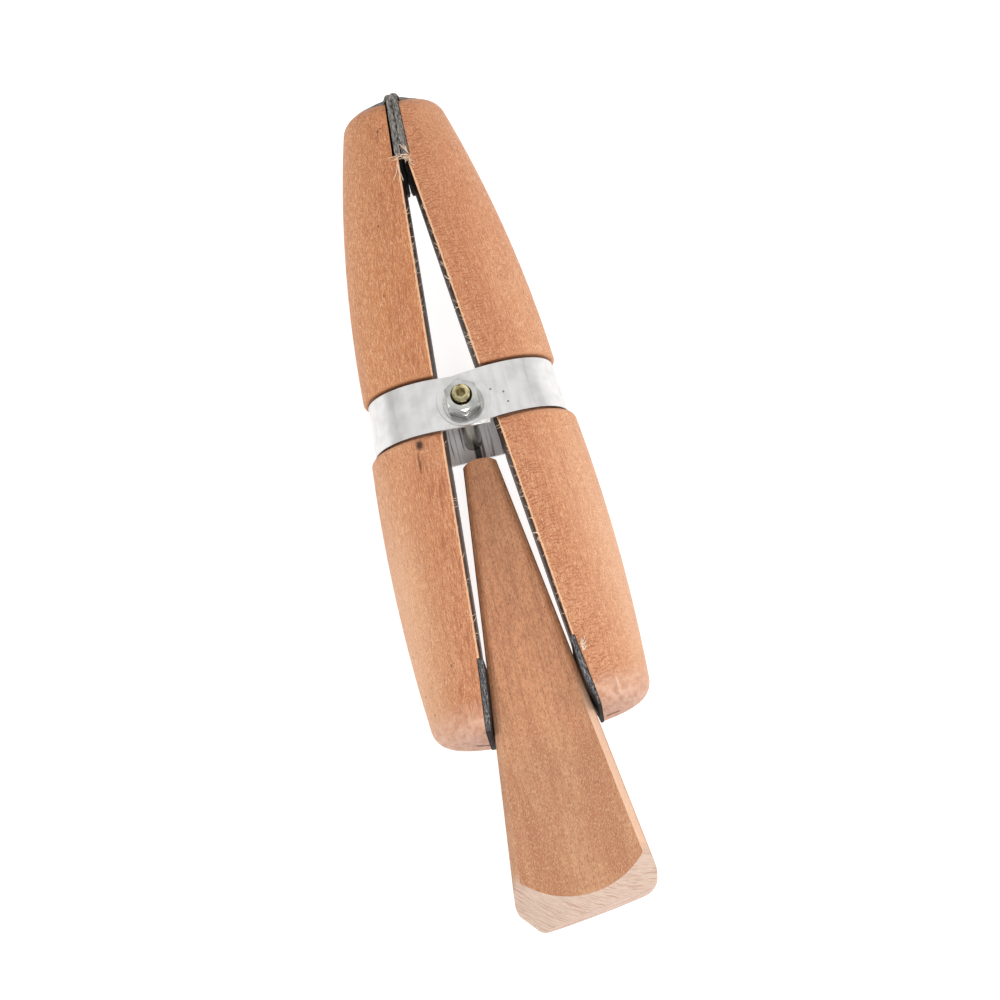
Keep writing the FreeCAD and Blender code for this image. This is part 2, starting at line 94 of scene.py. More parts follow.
def in_row(side, point):
    """A point of a jaw's own frame, in millimetres, as a point of the row frame."""
    x, y, z = point
    sign = SIDES[side]
    turned = Matrix.Rotation(sign * JAW_LEAN, 3, "Z") @ Vector((sign * x, y, z))
    return WAIST + (turned + Vector((sign * HALF_GAP, 0, 0))) * MM


def wobble(point, scale, seed):
    return noise.noise(Vector(point) * scale + Vector((seed, 2.7 * seed, -seed)))


# ---------------------------------------------------------------- materials


class Shader:
    """One material being wired up. Inputs can be numbers, colours or other nodes' outputs."""

    def __init__(self, name):
        self.material = bpy.data.materials.new(name)
        self.material.use_nodes = True
        self.nodes = self.material.node_tree.nodes
        self.links = self.material.node_tree.links
        self.nodes.clear()
        output = self.nodes.new("ShaderNodeOutputMaterial")
        self.surface = self.nodes.new("ShaderNodeBsdfPrincipled")
        self.links.new(self.surface.outputs[0], output.inputs["Surface"])

    def put(self, node, key, value):
        """Sets an input, or links it if the value is another node's output."""
        if value is None:
            return
        if isinstance(value, bpy.types.NodeSocket):
            self.links.new(value, node.inputs[key])
        else:
            node.inputs[key].default_value = value

    def add(self, kind, inputs, output=0, **settings):
        node = self.nodes.new("ShaderNode" + kind)
        for name, value in settings.items():
            setattr(node, name, value)
        for key, value in inputs.items():
            self.put(node, key, value)
        return node.outputs[output]

    def set(self, **inputs):
        """Sets the surface's own inputs; an underscore stands for a space."""
        for key, value in inputs.items():
            self.put(self.surface, key.replace("_", " "), value)

    def math(self, operation, a, b=None, c=None):
        return self.add("Math", {0: a, 1: b, 2: c}, operation=operation)

    def vector(self, operation, a, b=None):
        return self.add("VectorMath", {0: a, 1: b}, operation=operation)

    def stretched(self, point, x, y, z):
        return self.vector("MULTIPLY", point, (x, y, z))

    def split(self, point):
        node = self.nodes.new("ShaderNodeSeparateXYZ")
        self.put(node, 0, point)
        return node.outputs

    def noise(self, point, detail=2.0, rough=0.5, distortion=0.0):
        inputs = {"Vector": point, "Scale": 1.0, "Detail": detail,
                  "Roughness": rough, "Distortion": distortion}
        return self.add("TexNoise", inputs)

    def cells(self, point):
        """Distance to the nearest of the points scattered one to each unit cell."""
        return self.add("TexVoronoi", {"Vector": point, "Scale": 1.0})

    def step(self, value, low, high, to_low=0.0, to_high=1.0):
        """Smooth step from to_low below low to to_high above high."""
        inputs = {"Value": value, "From Min": low, "From Max": high, "To Min": to_low, "To Max": to_high}
        return self.add("MapRange", inputs, interpolation_type="SMOOTHSTEP")

    def mix(self, amount, a, b):
        node = self.nodes.new("ShaderNodeMix")
        node.data_type = "RGBA"
        for key, value in ((MIX_FACTOR, amount), (MIX_A, a), (MIX_B, b)):
            self.put(node, key, value)
        return node.outputs[MIX_RESULT]

    def flat(self, across, across_scale, along, along_scale):
        """Point in a plane, from two scaled values."""
        inputs = {
            0: self.math("MULTIPLY", across, across_scale),
            1: self.math("MULTIPLY", along, along_scale),
            2: 0.0,
        }
        return self.add("CombineXYZ", inputs)

    def base_colour(self):
        """What feeds the surface's colour so far."""
        return self.surface.inputs["Base Color"].links[0].from_socket

    def away(self, point, centre, scale):
        """Distance from a centre, with each direction counted scale times."""
        self.vector("LENGTH", self.stretched(self.vector("SUBTRACT", point, centre), *scale))
        return self.nodes[-1].outputs["Value"]

    def bump(self, height, strength, distance):
        normal = self.add("Bump", {"Height": height, "Strength": strength, "Distance": distance})
        self.set(Normal=normal)

    def place(self):
        """Point on the object in millimetres of the row frame, from the waist."""
        point = self.add("TexCoord", {}, output="Object")
        point = self.vector("SUBTRACT", point, tuple(WAIST))
        per_metre = 1 / MM
        return self.stretched(point, per_metre, per_metre, per_metre)

    def normal(self):
        """The three parts of the surface's direction, in the object's own frame."""
        return self.split(self.add("TexCoord", {}, output="Normal"))

    def crevice_shade(self, reach, strength):
        """Amount of painted shade: strength in tight corners between pieces, falling to 0 on open faces;
        reach in millimetres.
        """
        inputs = {"Distance": reach * MM}
        open_share = self.add("AmbientOcclusion", inputs, output="AO", samples=CREVICE_SHADE_SAMPLES)
        return self.step(open_share, 0.3, 0.85, strength, 0)


# How the two jaws differ. "inward" is painted shade that darkens the wood towards the split: how far out it
# reaches, then
# the heights between which its strength changes, and both strengths. "split" is a crack in the foot:
# how much it rises for each millimetre outwards, the height it starts from, and where its middle is.
JAW_LOOK = {
    "left": {"figure": 0.65, "inward": (15, -60, -10, 1.15, 1.1), "ripple": 0.1, "pores": 0.8,
             "split": (0.6, -4.6, 2.7)},
    "right": {"figure": 0.3, "inward": (18, -45, 15, 0.95, 1.25), "ripple": 0.62, "pores": 0.3,
              "split": (0.3, -4.6, 3.6)},
}
RIPPLE_PITCH = 0.85  # millimetres
WOOD_SHEEN = 0.35


def jaw_wood(side):
    """Turned beech-like wood: long grain, short ray flecks, turning ripples and pores."""
    sign = SIDES[side]
    look = JAW_LOOK[side]
    shader = Shader("jaw_wood_" + side)
    point = shader.vector("SUBTRACT", shader.place(), (sign * HALF_GAP, 0, 0))
    turn = {"Vector": point, "Axis": (0, 0, 1), "Angle": -sign * JAW_LEAN}
    point = shader.add("VectorRotate", turn, rotation_type="AXIS_ANGLE")
    x, y, z = shader.split(point)
    out = shader.math("ABSOLUTE", x)
    seeded = shader.vector("ADD", point, (37.0 * sign, 11.0, 5.0 * sign))

    tone = shader.noise(shader.stretched(seeded, 0.09, 0.03, 0.09), detail=3)
    grain = shader.noise(shader.stretched(seeded, 1.0, 0.06, 1.0), detail=4, rough=0.6, distortion=0.5)
    fibre = shader.noise(shader.stretched(seeded, 5.2, 0.5, 5.2), detail=3, rough=0.75)
    fleck = shader.noise(shader.stretched(seeded, 5.2, 2.0, 5.2), detail=3, rough=0.8)

    colour = shader.mix(shader.step(tone, 0.3, 0.7), srgb(212, 143, 97), srgb(222, 160, 116))
    if side == "left":
        colour = shader.mix(shader.step(y, -5, 5, 0, 0.45), colour, srgb(204, 128, 60))
    colour = shader.mix(shader.step(grain, 0.42, 0.75, 0, 0.5), colour, srgb(182, 116, 80))
    colour = shader.mix(shader.step(fibre, 0.48, 0.63, 0, 0.9), colour, srgb(244, 194, 150))
    colour = shader.mix(shader.step(fleck, 0.51, 0.61, 0, 0.75), colour, srgb(150, 80, 50))
    figure = shader.noise(shader.stretched(seeded, 1.3, 0.16, 1.3), detail=4, rough=0.65, distortion=0.8)
    beside = shader.step(out, 2, 10, look["figure"], 0.05)
    figure = shader.math("MULTIPLY", shader.step(figure, 0.5, 0.66), beside)
    colour = shader.mix(figure, colour, srgb(146, 80, 52))
    # Painted sheen: the lower, outer sides of the jaws are lightened towards a pale colour.
    painted_sheen = shader.math("MULTIPLY", shader.step(out, 5, 15, 0, 0.3), shader.step(y, -40, 0, 1, 0))
    colour = shader.mix(painted_sheen, colour, srgb(244, 202, 168))
    # Painted shade darkens the wood towards the split.
    inward_reach, *inward_strength = look["inward"]
    inward = shader.step(out, 4, inward_reach, 0.3, 0)
    inward = shader.math("MULTIPLY", inward, shader.step(y, *inward_strength))
    colour = shader.mix(inward, colour, srgb(152, 90, 60))

    # Ripples left by the turning run round the wood, most clearly beside the right jaw's sawn edge.
    warp = shader.noise(shader.stretched(seeded, 0.35, 0.35, 0.35), detail=3)
    waves = shader.math("MULTIPLY_ADD", warp, 3.4, y)
    waves = shader.math("SINE", shader.math("MULTIPLY", waves, FULL_TURN / RIPPLE_PITCH))
    patches = shader.noise(shader.stretched(seeded, 0.7, 1.1, 0.7), detail=2)
    ripple = shader.math("MULTIPLY", shader.step(waves, -0.2, 0.9), shader.step(patches, 0.4, 0.56))
    fading = shader.step(out, 2.0, 9.0, look["ripple"], 0.25 * look["ripple"])
    ripple_mask = shader.math("MULTIPLY", ripple, fading)
    colour = shader.mix(ripple_mask, colour, srgb(158, 88, 56))

    # Scattered pores.
    pore = shader.cells(shader.stretched(seeded, 0.42, 0.28, 0.42))
    pore_gate = shader.noise(shader.stretched(seeded, 0.2, 0.1, 0.2), detail=1)
    pores = shader.step(pore, 0.08, 0.13, 1, 0)
    pores = shader.math("MULTIPLY", pores, shader.step(pore_gate, 0.52, 0.62))
    colour = shader.mix(shader.math("MULTIPLY", pores, look["pores"]), colour, srgb(92, 48, 32))

    # A knot with a crack below it on the left jaw, and a pale-rimmed nick at the right jaw's foot.
    shift = shader.add("TexNoise", {"Vector": seeded, "Scale": 1.2}, output="Color")
    ragged = shader.vector("ADD", point, shader.stretched(shift, 0.7, 0.7, 0))
    if side == "left":
        knot = shader.away(ragged, (-5.1, -8.3, 0), (0.85, 0.7, 0))
        colour = shader.mix(shader.step(knot, 0.3, 1.1, 0.95, 0), colour, srgb(62, 32, 24))
        crack = shader.away(ragged, (-5.7, -12.4, 0), (2.2, 0.27, 0))
        colour = shader.mix(shader.step(crack, 0.35, 1.0, 0.75, 0), colour, srgb(108, 56, 38))
    else:
        nick = shader.away(ragged, (5.9, -71.4, 0), (1.1, 0.42, 0))
        colour = shader.mix(shader.step(nick, 0.5, 1.1, 0.8, 0), colour, srgb(176, 116, 86))
        lip = shader.away(ragged, (6.5, -71.2, 0), (2.4, 0.42, 0))
        colour = shader.mix(shader.step(lip, 0.5, 1.1, 0.7, 0), colour, srgb(246, 214, 186))

    # A fine split in the end grain, running obliquely across the foot.
    rise, start, middle = look["split"]
    split_height = shader.math("MULTIPLY_ADD", out, rise, start)
    off_split = shader.math("ABSOLUTE", shader.math("SUBTRACT", z, split_height))
    off_middle = shader.math("ABSOLUTE", shader.math("SUBTRACT", out, middle))
    along_split = shader.step(off_middle, 1.3, 1.9, 1, 0)
    split = shader.math("MULTIPLY", shader.step(off_split, 0.5, 1.2, 0.9, 0), along_split)
    split = shader.math("MULTIPLY", split, shader.step(y, -73.4, -72.6, 1, 0))

    # The rounded lower end is paler end grain.
    ends = shader.step(y, -73.8, -66, 0.8, 0)
    end_tone = shader.noise(shader.stretched(seeded, 0.6, 0.6, 0.25), detail=4, rough=0.65)
    end_colour = shader.mix(shader.step(end_tone, 0.3, 0.7), srgb(196, 144, 118), srgb(226, 188, 166))
    colour = shader.mix(ends, colour, end_colour)
    colour = shader.mix(split, colour, srgb(112, 62, 46))

    # The sawn inner face is dull and dark, partly its own sawn colour and partly painted shade, since it
    # lies mostly in shade; the arris beside it is pale torn fibre.
    facing = shader.math("ABSOLUTE", shader.normal()[0])
    sawn = shader.math("MULTIPLY", shader.step(facing, 0.93, 0.98), shader.step(out, 3.0, 3.6, 1, 0))
    torn = shader.noise(shader.stretched(seeded, 1.0, 0.9, 1.0), detail=3)
    reach = shader.math("MULTIPLY_ADD", torn, 0.7, 0.05)
    arris = shader.math("LESS_THAN", out, reach)
    arris = shader.math("MULTIPLY", arris, shader.step(facing, 0.5, 0.9, 0.75, 0))
    colour = shader.mix(arris, colour, srgb(238, 190, 148))
    sawn_tone = shader.noise(shader.stretched(seeded, 1.0, 0.8, 0.25), detail=4)
    sawn_and_shade_colour = shader.mix(sawn_tone, srgb(70, 50, 40), srgb(140, 104, 80))
    sawn_and_shade_colour = shader.mix(shader.step(y, 60.0, 60.6), sawn_and_shade_colour, srgb(176, 92, 62))
    colour = shader.mix(sawn, colour, sawn_and_shade_colour)
    # Painted shade darkens the wood in tight corners, where it meets the strap and the leather.
    colour = shader.mix(shader.crevice_shade(1.1, 0.8), colour, srgb(62, 34, 26))

    shader.set(Base_Color=colour, Roughness=shader.step(fibre, 0.3, 0.7, 0.6, 0.46))
    shader.set(Specular_IOR_Level=WOOD_SHEEN)
    height = shader.math("MULTIPLY_ADD", ripple_mask, -0.8, shader.math("SUBTRACT", fibre, fleck))
    shader.bump(height, 0.6, 0.0002)
    return shader.material


def wedge_wood():
    """Redder board with a softly figured grain; the sanded bevels are pale and scratched."""
    shader = Shader("wedge_wood")
    point = shader.place()
    x, y, _ = shader.split(point)
    tone = shader.noise(shader.stretched(point, 0.16, 0.03, 0.16), detail=3, distortion=0.6)
    grain = shader.noise(shader.stretched(point, 1.3, 0.06, 1.3), detail=4, rough=0.6, distortion=0.3)
    fleck = shader.noise(shader.stretched(point, 4.4, 1.1, 4.4), detail=3, rough=0.75)
    pale = shader.noise(shader.stretched(point, 5.0, 1.4, 5.0), detail=3, rough=0.75)
    colour = shader.mix(shader.step(tone, 0.35, 0.65), srgb(175, 120, 85), srgb(191, 141, 104))
    # Painted light: the wedge between the jaws is lightened, most in its middle, to lift the shade the jaws
    # and pads cast on it.
    painted_lift = shader.math("MULTIPLY", shader.step(y, -85, -60), shader.step(y, -45, -15, 0.85, 0.6))
    colour = shader.mix(painted_lift, colour, srgb(222, 154, 112))
    colour = shader.mix(shader.step(grain, 0.45, 0.62, 0, 0.38), colour, srgb(152, 96, 67))
    colour = shader.mix(shader.step(fleck, 0.5, 0.62, 0, 0.7), colour, srgb(142, 88, 60))
    colour = shader.mix(shader.step(pale, 0.5, 0.61, 0, 0.55), colour, srgb(216, 176, 137))
    mottle = shader.noise(shader.stretched(point, 0.9, 0.4, 0.9), detail=3, rough=0.6)
    colour = shader.mix(shader.step(mottle, 0.45, 0.65, 0, 0.35), colour, srgb(168, 106, 76))

    # The bevels round the butt carry sanding arcs; the rest of the rim carries a painted highlight,
    # stronger on the right-hand side.
    up = shader.math("ABSOLUTE", shader.normal()[2])
    tilted = shader.math("MULTIPLY", shader.step(up, 0.985, 0.999, 1, 0), shader.step(up, 0.3, 0.5))
    butt = shader.step(y, -108, -104, 1, 0)
    radius = shader.away(point, (18, -80, 0), (1, 1, 0))
    jitter = shader.noise(shader.stretched(point, 0.7, 0.7, 0.7), detail=2)
    arcs = shader.math("MULTIPLY_ADD", jitter, 0.8, radius)
    arcs = shader.noise(shader.flat(arcs, 4.6, x, 0.16), detail=3, rough=0.7)
    arcs = shader.step(arcs, 0.48, 0.62, 0, 0.6)
    bevel = shader.mix(jitter, srgb(194, 170, 153), srgb(214, 190, 173))
    bevel = shader.mix(arcs, bevel, srgb(164, 112, 86))
    colour = shader.mix(shader.math("MULTIPLY", tilted, butt), colour, bevel)
    # Painted highlight on the chamfers of the lower wedge, faint on the left and stronger on the right.
    rim = shader.math("MULTIPLY", tilted, shader.step(y, -75, -62, 1, 0))
    rim = shader.math("MULTIPLY", rim, shader.step(y, -108, -104, 0, 1))
    rim = shader.math("MULTIPLY", rim, shader.step(x, -2, 2, 0.1, 0.6))
    colour = shader.mix(rim, colour, srgb(240, 204, 176))

    # Growth rings show as flat arcs on the sawn butt.
    rings = shader.away(point, (6, 0, -70), (1, 0, 1))
    rings = shader.math("MULTIPLY_ADD", jitter, 1.2, rings)
    rings = shader.noise(shader.flat(rings, 1.6, x, 0.1), detail=3, rough=0.65)
    rings = shader.step(rings, 0.42, 0.62)
    specks = shader.step(shader.noise(shader.stretched(point, 3.0, 3.0, 3.0), detail=2), 0.52, 0.66, 0, 0.6)
    sawn_butt = shader.mix(rings, srgb(224, 196, 178), srgb(196, 154, 130))
    sawn_butt = shader.mix(specks, sawn_butt, srgb(172, 126, 102))
    upright = shader.step(up, 0.2, 0.3, 1, 0)
    colour = shader.mix(shader.math("MULTIPLY", upright, butt), colour, sawn_butt)

    shader.set(Base_Color=colour, Roughness=0.58, Specular_IOR_Level=WOOD_SHEEN)
    shader.bump(shader.math("ADD", fleck, shader.math("MULTIPLY", arcs, -0.5)), 0.3, 0.0002)
    return shader.material


def leather(name, dark, pale):
    """Black leather: smooth dark faces and grey, fibrous cut edges."""
    shader = Shader(name)
    point = shader.place()
    fibre = shader.noise(shader.stretched(point, 4.6, 0.6, 2.0), detail=4, rough=0.7, distortion=0.2)
    lump = shader.noise(shader.stretched(point, 1.6, 1.6, 1.6), detail=3)
    hair = shader.noise(shader.stretched(point, 7.0, 0.7, 5.0), detail=2, rough=0.6, distortion=0.3)
    forward = shader.math("ABSOLUTE", shader.normal()[2])
    cut = shader.step(forward, 0.3, 0.7)
    edge = shader.mix(shader.step(fibre, 0.36, 0.66), dark, pale)
    edge = shader.mix(shader.step(hair, 0.54, 0.66, 0, 0.75), edge, srgb(186, 178, 170))
    face = shader.mix(shader.step(lump, 0.35, 0.7), srgb(22, 21, 22), srgb(46, 44, 44))
    shader.set(Base_Color=shader.mix(cut, face, edge), Specular_IOR_Level=0.3)
    shader.set(Roughness=shader.step(fibre, 0.3, 0.7, 0.68, 0.9))
    shader.bump(shader.math("ADD", fibre, lump), 0.7, 0.0003)
    return shader.material


def metal(name, colour, worn, low, high, stretch, strength=0.15):
    """Metal from low to high roughness, worn in patches; stretch lengthens its faint scratches."""
    shader = Shader(name)
    point = shader.place()
    scratch = shader.noise(shader.stretched(point, *stretch), detail=3, rough=0.6)
    cloud = shader.noise(shader.stretched(point, 0.3, 0.3, 0.3), detail=3)
    plain = shader.mix(shader.step(cloud, 0.35, 0.7), colour, worn)
    # Painted shade darkens the metal in tight corners between pieces, such as round the nuts and washers.
    shader.set(
        Base_Color=shader.mix(shader.crevice_shade(0.45, 0.75), plain, srgb(46, 42, 38)),
        Metallic=1.0,
        Roughness=shader.step(scratch, 0.3, 0.7, low, high),
    )
    shader.bump(scratch, strength, 0.00005)
    return shader


def pitted(shader, places, radius):
    """Adds small dark pits to a metal at places on it, in millimetres from the waist."""
    point = shader.place()
    colour = shader.base_colour()
    for place in places:
        away = shader.away(point, place, (1, 1, 0))
        colour = shader.mix(shader.step(away, 0.5 * radius, radius, 0.85, 0), colour, srgb(84, 72, 60))
    shader.set(Base_Color=colour)


def painted_dark_sides(shader):
    """Painted reflection: the flats and rims are painted darker than the flat ends, for the darker
    surroundings they reflect.
    """
    upright = shader.step(shader.math("ABSOLUTE", shader.normal()[2]), 0.2, 0.85, 0.85, 0)
    colour = shader.base_colour()
    shader.set(Base_Color=shader.mix(upright, colour, srgb(98, 98, 96)))


def painted_screw_shade(shader):
    """Painted shade: the shank inside the clamp is painted dark, darkest on its +x side, and the socket
    recess a little darker too.
    """
    point = shader.place()
    height = shader.split(point)[2]
    within = shader.step(shader.away(point, (-0.2, -1.4, 0), (1, 1, 0)), 1.0, 1.2, 0.7, 0)
    socket = shader.math("MULTIPLY", within, shader.step(height, 25.7, 26.2, 1, 0))
    shank = shader.step(height, 12, 15, 0.85, 0)
    colour = shader.base_colour()
    colour = shader.mix(socket, colour, srgb(104, 94, 60))
    painted_dark = shader.mix(shader.step(shader.normal()[0], -0.3, 0.2), srgb(84, 76, 68), srgb(20, 17, 15))
    shader.set(Base_Color=shader.mix(shank, colour, painted_dark))


def inside_of_strap(shader):
    """The back plate's inner face is painted near white and barely metallic, a painted brightness for the
    light it reflects; it is streaked, with a painted dark streak below the screw for the shank's
    reflection.
    """
    streak_x = 0.4
    x, y, z = shader.split(shader.place())
    facing_in = shader.step(shader.normal()[2], 0.4, 0.8)
    inside = shader.math("MULTIPLY", facing_in, shader.step(z, -10, -8, 1, 0))
    streak = shader.noise(shader.flat(x, 0.9, y, 0.04), detail=3, rough=0.7)
    streak = shader.step(streak, 0.5, 0.64)
    dull = shader.mix(streak, srgb(255, 253, 252), srgb(142, 130, 126))
    # Painted dark streak running down from the screw, standing in for the shank's reflection.
    painted_dark = shader.math("ABSOLUTE", shader.math("SUBTRACT", x, streak_x))
    painted_dark = shader.math("MULTIPLY", shader.step(painted_dark, 0.5, 1.1, 0.95, 0), shader.step(y, -3, -1, 1, 0))
    dull = shader.mix(painted_dark, dull, srgb(24, 20, 18))
    colour = shader.base_colour()
    shader.set(Base_Color=shader.mix(inside, colour, dull), Metallic=shader.step(inside, 0, 1, 1, 0.1))


def paint(node, material):
    """Gives a CAD node a material."""
    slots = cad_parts[node].data.materials
    slots.clear()
    slots.append(material)


strap_metal = metal("strap_metal", srgb(229, 228, 227), srgb(216, 214, 212),
                    low=0.34, high=0.46, stretch=(0.9, 0.05, 0.9))
pitted(strap_metal, [(6.4, 0.4, 17.2), (9.1, -0.7, 16.9), (9.6, -3.1, 16.8)], radius=0.3)
inside_of_strap(strap_metal)
nut_metal = metal("nut_metal", srgb(218, 218, 214), srgb(180, 180, 174),
                  low=0.10, high=0.22, stretch=(2, 2, 2), strength=0.3)
painted_dark_sides(nut_metal)
screw_metal = metal("screw_metal", srgb(214, 202, 156), srgb(166, 156, 118),
                    low=0.12, high=0.28, stretch=(3, 3, 3), strength=0.3)
painted_screw_shade(screw_metal)
for side in SIDES:
    paint("jaw_half_" + side, jaw_wood(side))
paint("wedge", wedge_wood())
paint("strap_band", strap_metal.material)
for node in ("front_washer", "rear_washer", "front_nut", "front_jam_nut", "rear_nut"):
    paint(node, nut_metal.material)
paint("clamp_screw", screw_metal.material)


# ---------------------------------------------------------------- leather

FACE_STEPS = 64
EDGE_STEPS = 6
UPPER_PAD = {"low": 60.35, "high": 75.6}
LOWER_PAD = {"low": -74.1, "high": -58.3}
INSET = 0.1  # how far the leather's long edges stay inside the turned wood, in millimetres
CAP_OVERHANG = 0.9


def bridge(bm, loops):
    """Joins each loop of vertices to the next with a band of faces."""
    for near, far in zip(loops, loops[1:]):
        for index in range(len(near)):
            after = (index + 1) % len(near)
            bm.faces.new((near[index], near[after], far[after], far[index]))


def link_piece(name, bm, material, body):
    """Turns a bmesh into a smooth piece that rides a body."""
    bmesh.ops.recalc_face_normals(bm, faces=bm.faces)
    mesh = bpy.data.meshes.new(name)
    bm.to_mesh(mesh)
    bm.free()
    mesh.materials.append(material)
    for face in mesh.polygons:
        face.use_smooth = True
    piece = bpy.data.objects.new(name, mesh)
    bpy.context.collection.objects.link(piece)
    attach(piece, body)
    return piece


def leather_piece(name, side, path, material, node, seed):
    """Leather along a path of (x, y, direction of its outer face, thickness, half width, sag)."""
    outline = []
    for face in (+1, -1):
        for step in range(FACE_STEPS):
            outline.append((face * (1 - 2 * step / (FACE_STEPS - 1)), face))
        for step in range(1, EDGE_STEPS):
            outline.append((-face, face * (1 - 2 * step / EDGE_STEPS)))
    flat_top = jaw_radius(75.0) - TIP_ROUNDING
    bm = bmesh.new()
    rings = []
    for x, y, facing, thick, half_width, sag in path:
        loop = []
        for across, height in outline:
            at_edge = abs(across) > 0.999
            z = across * half_width
            rim = ease(1.0, 0.1, half_width - abs(z))
            lift = height * thick / 2 * (1 - 0.12 * rim)
            if height > 0:
                lift += 0.06 * (1 - across * across)
            spot = (x, y + 0.35 * z, z)
            lift += 0.05 * height * wobble(spot, 0.9, seed)
            lift += 0.09 * rim * wobble((x + height, y, z), 2.6, seed + 9)
            if at_edge:
                z += math.copysign(0.16, z) * wobble((x, y, height * 1.5), 3.4, seed + 4)
                z += math.copysign(0.10 * (1 - height * height), z)
            drop = sag * max(0.0, math.hypot(x, z) - flat_top) ** 2
            place = (x + facing[0] * lift, y + facing[1] * lift - drop, z)
            loop.append(bm.verts.new(in_row(side, place)))
        rings.append(loop)
    bridge(bm, rings)
    for loop in (rings[0], rings[-1]):
        bm.faces.new(loop)
    piece = link_piece(name, bm, material, side + "_jaw")
    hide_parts(node)


def upper_leather(side, wood_low, wood_high, outer_low, outer_high, reach):
    """Strip up the inner face of a jaw tip, folded over the wood and cut to a D on top of it.

    Its back lies on the wood and its outer face stands inwards, each given as the distance from
    the jaw's flat at the strip's low and high ends. Reach is how far the D goes out over the tip.
    """
    low, high = UPPER_PAD["low"], UPPER_PAD["high"]
    path = []

    # Up the inner face.
    steps = 60
    for step in range(steps):
        y = blend(low, high, step / (steps - 1))
        share = (y - low) / (high - low)
        wood = blend(wood_low, wood_high, share)
        outer = blend(outer_low, outer_high, share)
        half_width = math.sqrt(jaw_radius(y) ** 2 - wood * wood) - INSET
        ends = 0.75 + 0.25 * ease(0, 0.6, y - low)
        path.append(((wood + outer) / 2, y, (-1, 0), (wood - outer) * ends, half_width, 0))

    # Round the fold, where the leather bunches.
    thick = wood_high - outer_high
    corner = wood_high + 0.1
    widest = half_width
    turns = 12
    for step in range(1, turns + 1):
        angle = math.radians(blend(180, 90, step / turns))
        share = ease(0.35, 1.0, step / turns)
        narrowed = widest - 0.25 * ease(0, 0.5, step / turns)
        half_width = blend(narrowed, reach + CAP_OVERHANG, share)
        thinned = thick * blend(1, 0.75, step / turns)
        bunched = 0.5 * thinned * math.sin(math.pi * step / turns)
        radius = 0.1 + (thinned + bunched) / 2
        x, y = corner + radius * math.cos(angle), high + radius * math.sin(angle)
        path.append((x, y, (math.cos(angle), math.sin(angle)), thinned + bunched, half_width, 0))

    # Out over the tip, sagging over its rounded edge.
    steps = 26
    sag = 0.118
    above_wood = 0.12
    for step in range(1, steps):
        share = step / steps
        x = blend(corner, reach, share ** 0.8)
        spread = math.sqrt(reach * reach - x * x) + CAP_OVERHANG * (1 - ease(0, 0.25, share))
        thin = blend(thinned, 0.6, ease(0, 0.4, share)) * blend(1, 0.6, share)
        path.append((x, high + above_wood + thin / 2, (0, 1), thin, spread, sag))
    seed = 3 + SIDES[side]
    leather_piece("leather_upper_" + side, side, path, leather_top, "upper_pad_" + side, seed)


def lower_leather(side, start_thick, middle_thick, foot_thick):
    """Strip on the inner face of a jaw's lower end, where the wedge bears."""
    low, high = LOWER_PAD["low"], LOWER_PAD["high"]
    path = []
    steps = 64
    for step in range(steps):
        y = blend(high, low, step / (steps - 1))
        share = (y - high) / (low - high)
        wood = blend(0.52, 1.27, share) - 0.03
        thick = blend(start_thick, middle_thick, ease(0.05, 0.5, share))
        thick = blend(thick, foot_thick, ease(0.66, 0.95, share))
        into = min(FOOT_ROUNDING, max(0.0, LOWER["low"] + FOOT_ROUNDING - y))
        pull = FOOT_ROUNDING - math.sqrt(FOOT_ROUNDING ** 2 - into ** 2)
        half_width = math.sqrt(jaw_radius(y) ** 2 - wood * wood) - INSET - 0.55 * pull
        thick *= 0.7 + 0.3 * ease(0, 0.5, high - y)
        path.append((wood - thick / 2, y, (-1, 0), thick, half_width, 0))
    seed = 23 + SIDES[side]
    leather_piece("leather_lower_" + side, side, path, leather_low, "lower_pad_" + side, seed)


leather_top = leather("leather_top", srgb(46, 45, 46), srgb(148, 141, 134))
leather_low = leather("leather_low", srgb(28, 29, 33), srgb(106, 104, 106))
upper_leather("left", wood_low=0.75, wood_high=0.86, outer_low=-0.76, outer_high=-0.37, reach=9.8)
upper_leather("right", wood_low=0.98, wood_high=2.62, outer_low=-0.86, outer_high=1.22, reach=9.2)
lower_leather("left", start_thick=1.45, middle_thick=1.45, foot_thick=1.25)
lower_leather("right", start_thick=1.15, middle_thick=1.5, foot_thick=0.75)


# ---------------------------------------------------------------- torn fibres and leather fuzz


def add_fibre(bm, side, start, heading, length, thickness, curl):
    """One loose fibre: a thin tapering strand that curls away from where it is rooted."""
    point = Vector(start)
    heading = Vector(heading).normalized()
    bend = Vector((random.uniform(-1, 1), random.uniform(-1, 1), random.uniform(-0.3, 0.6))) * curl
    steps = 9
    corners = 5
    loops = []
    for step in range(steps):
        share = step / (steps - 1)
        radius = thickness * (1 - 0.7 * share)
        across = heading.orthogonal().normalized()
        over = heading.cross(across)
        loop = []
        for corner in range(corners):
            angle = FULL_TURN * corner / corners
            rim = point + (across * math.cos(angle) + over * 0.6 * math.sin(angle)) * radius
            loop.append(bm.verts.new(in_row(side, rim)))
        loops.append(loop)
        point = point + heading * length / steps
        heading = (heading + bend / steps).normalized()
        if step == steps // 2:
            bend = -bend * random.uniform(0.2, 1.4)
    bridge(bm, loops)
    bm.faces.new(loops[0])
    bm.faces.new(loops[-1])


def on_arris(y, out=0.15):
    """Point on the front edge between a jaw's round and its sawn face."""
    return (out, y, math.sqrt(jaw_radius(y) ** 2 - out * out) - 0.1)


